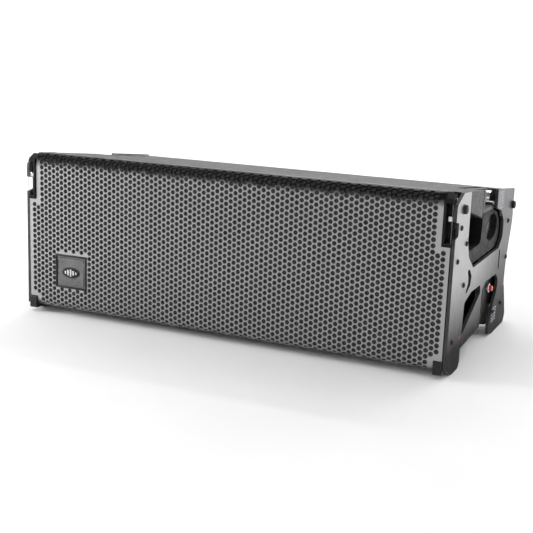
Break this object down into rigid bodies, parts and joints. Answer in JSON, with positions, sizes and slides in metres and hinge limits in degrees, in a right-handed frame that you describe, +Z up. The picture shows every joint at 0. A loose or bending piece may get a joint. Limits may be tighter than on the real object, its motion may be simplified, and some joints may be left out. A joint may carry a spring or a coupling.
{
  "type": "line array speaker",
  "caption": "Powered line array module: wide tapered cabinet, perforated rolled-edge grille, and steel side frames with grips, rear and front links and release pins.",
  "frame": {"origin": "centre of the overall box on the plane that the side frames stand on", "axes": "+X to the right as seen from the front, +Y from the grille to the amplifier panel, +Z up"},
  "size_m": [0.8984, 0.4669, 0.3278],
  "materials": {
    "cabinet_paint": "fine textured black paint",
    "plywood": "black stained plywood",
    "grille_paint": "satin dark grey coat on perforated steel",
    "foam": "open-cell acoustic foam",
    "black_plastic": "moulded black plastic, fine grain",
    "badge": "satin silver tile with plain raised bars",
    "frame_steel": "satin grey coated steel, laser cut",
    "black_steel": "blackened steel",
    "bright_steel": "bright zinc-plated steel",
    "grip_rubber": "soft black grip",
    "red_plastic": "glossy red push button",
    "cone_paper": "treated black paper cone",
    "surround_rubber": "black half-roll surround",
    "driver_metal": "grey coated steel",
    "magnet": "zinc-plated motor steel",
    "amp_aluminium": "black anodised aluminium",
    "board": "green solder mask",
    "copper": "enamelled copper winding",
    "inlet_blue": "blue chassis socket",
    "outlet_grey": "light grey chassis socket",
    "lens": "green status lens"
  },
  "bodies": {
    "cabinet": {"cabinet_shell": "cabinet_paint", "baffle_board": "plywood", "brace_left": "plywood", "brace_right": "plywood", "front_grille": "grille_paint", "grille_foam": "foam", "badge_plate": "badge", "corner_guard_left": "black_plastic", "corner_guard_right": "black_plastic", "corner_block_left": "black_plastic", "corner_block_right": "black_plastic", "side_cup_left": "black_plastic", "side_cup_right": "black_plastic", "link_receiver_left": "black_plastic", "link_receiver_right": "black_plastic", "hf_waveguide": "black_plastic", "signal_input": "black_plastic", "signal_output": "black_plastic", "rigging_frame_left": "frame_steel", "rigging_frame_right": "frame_steel", "link_channel_left": "black_steel", "link_channel_right": "black_steel", "frame_bolt_front_left": "black_steel", "frame_bolt_front_right": "black_steel", "frame_bolt_rear_left": "black_steel", "frame_bolt_rear_right": "black_steel", "handle_grip_left": "grip_rubber", "handle_grip_right": "grip_rubber", "woofer_surround_left": "surround_rubber", "woofer_surround_right": "surround_rubber", "woofer_basket_left": "driver_metal", "woofer_basket_right": "driver_metal", "woofer_magnet_left": "magnet", "woofer_magnet_right": "magnet", "compression_driver_upper": "magnet", "compression_driver_lower": "magnet", "amp_panel": "amp_aluminium", "heatsink": "amp_aluminium", "circuit_board": "board", "power_transformer": "copper", "power_inlet": "inlet_blue", "power_outlet": "outlet_grey", "status_lens": "lens"},
    "rear_link_left": {"rear_link_left": "bright_steel"},
    "rear_link_right": {"rear_link_right": "bright_steel"},
    "front_link_left": {"front_link_left": "bright_steel"},
    "front_link_right": {"front_link_right": "bright_steel"},
    "release_pin_left": {"release_pin_left": "bright_steel"},
    "release_pin_right": {"release_pin_right": "bright_steel"},
    "pin_button_left": {"pin_button_left": "red_plastic"},
    "pin_button_right": {"pin_button_right": "red_plastic"},
    "front_plunger_left": {"front_plunger_left": "bright_steel"},
    "front_plunger_right": {"front_plunger_right": "bright_steel"},
    "woofer_cone_left": {"woofer_cone_left": "cone_paper"},
    "woofer_cone_right": {"woofer_cone_right": "cone_paper"},
    "level_knob": {"level_knob": "black_plastic"},
    "power_switch": {"power_switch": "black_plastic"},
    "preset_button": {"preset_button": "black_plastic"}
  },
  "joints": [
    {"name": "rear_link_slide_left", "type": "slide", "parent": "cabinet", "child": "rear_link_left", "axis": [0, 0, 1], "range_m": [0, 0.07]},
    {"name": "front_link_slide_left", "type": "slide", "parent": "cabinet", "child": "front_link_left", "axis": [0, 0, 1], "range_m": [0, 0.032]},
    {"name": "release_pin_pull_left", "type": "slide", "parent": "cabinet", "child": "release_pin_left", "axis": [-1, 0, 0], "range_m": [0, 0.04]},
    {"name": "pin_button_press_left", "type": "slide", "parent": "release_pin_left", "child": "pin_button_left", "axis": [1, 0, 0], "range_m": [0, 0.0028], "stiffness_N_per_m": 600},
    {"name": "front_plunger_pull_left", "type": "slide", "parent": "cabinet", "child": "front_plunger_left", "axis": [0, -1, 0], "range_m": [0, 0.005], "stiffness_N_per_m": 400},
    {"name": "woofer_travel_left", "type": "slide", "parent": "cabinet", "child": "woofer_cone_left", "axis": [0, -1, 0], "range_m": [-0.005, 0.005], "stiffness_N_per_m": 3000, "deforming": ["woofer_surround_left"]},
    {"name": "rear_link_slide_right", "type": "slide", "parent": "cabinet", "child": "rear_link_right", "axis": [0, 0, 1], "range_m": [0, 0.07]},
    {"name": "front_link_slide_right", "type": "slide", "parent": "cabinet", "child": "front_link_right", "axis": [0, 0, 1], "range_m": [0, 0.032]},
    {"name": "release_pin_pull_right", "type": "slide", "parent": "cabinet", "child": "release_pin_right", "axis": [1, 0, 0], "range_m": [0, 0.04]},
    {"name": "pin_button_press_right", "type": "slide", "parent": "release_pin_right", "child": "pin_button_right", "axis": [-1, 0, 0], "range_m": [0, 0.0028], "stiffness_N_per_m": 600},
    {"name": "front_plunger_pull_right", "type": "slide", "parent": "cabinet", "child": "front_plunger_right", "axis": [0, -1, 0], "range_m": [0, 0.005], "stiffness_N_per_m": 400},
    {"name": "woofer_travel_right", "type": "slide", "parent": "cabinet", "child": "woofer_cone_right", "axis": [0, -1, 0], "range_m": [-0.005, 0.005], "stiffness_N_per_m": 3000, "deforming": ["woofer_surround_right"]},
    {"name": "level_knob_turn", "type": "hinge", "parent": "cabinet", "child": "level_knob", "pos_m": [-0.13, 0.1965, 0.15], "axis": [0, 1, 0], "range_deg": [-150, 150]},
    {"name": "power_switch_rock", "type": "hinge", "parent": "cabinet", "child": "power_switch", "pos_m": [-0.13, 0.1905, 0.117], "axis": [1, 0, 0], "range_deg": [0, 10]},
    {"name": "preset_button_press", "type": "slide", "parent": "cabinet", "child": "preset_button", "axis": [0, -1, 0], "range_m": [0, 0.002], "stiffness_N_per_m": 300}
  ]
}
